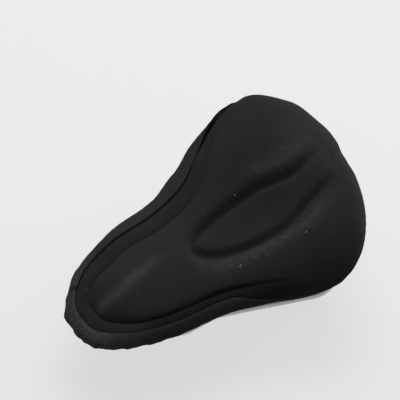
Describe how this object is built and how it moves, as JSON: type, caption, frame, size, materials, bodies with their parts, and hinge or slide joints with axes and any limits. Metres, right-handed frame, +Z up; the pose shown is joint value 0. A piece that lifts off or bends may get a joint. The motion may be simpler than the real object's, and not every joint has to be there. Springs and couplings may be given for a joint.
{
  "type": "bike saddle in a slip-on padded cover",
  "caption": "Bike saddle on steel rails, wearing a padded stretch-knit slip-on cover with a leaf-shaped relief channel and an elastic hem",
  "frame": {"origin": "on the ground under the middle of the saddle's box, with the rails resting on it", "axes": "+X towards the nose, +Y towards the rider's left, +Z up"},
  "size_m": [0.2761, 0.1988, 0.1339],
  "materials": {
    "pad_knit": "matt black stretch knit over foam",
    "side_knit": "matt black stretch knit",
    "elastic": "woven elastic tape",
    "vinyl": "grained black vinyl",
    "foam": "grey foam",
    "shell": "moulded black plastic",
    "rail_steel": "plated steel rod",
    "bracket": "moulded black plastic",
    "screw_steel": "zinc-plated"
  },
  "bodies": {
    "root": {"cover_top_pad": "pad_knit", "cover_side_skirt": "side_knit", "hem_elastic": "elastic", "saddle_skin": "vinyl", "saddle_padding": "foam", "saddle_shell": "shell", "rail_left": "rail_steel", "rail_right": "rail_steel", "nose_bracket": "bracket", "rear_bracket_left": "bracket", "rear_bracket_right": "bracket", "nose_screw_left": "screw_steel", "nose_screw_right": "screw_steel", "rear_screw_left_front": "screw_steel", "rear_screw_left_rear": "screw_steel", "rear_screw_right_front": "screw_steel", "rear_screw_right_rear": "screw_steel"}
  },
  "joints": []
}
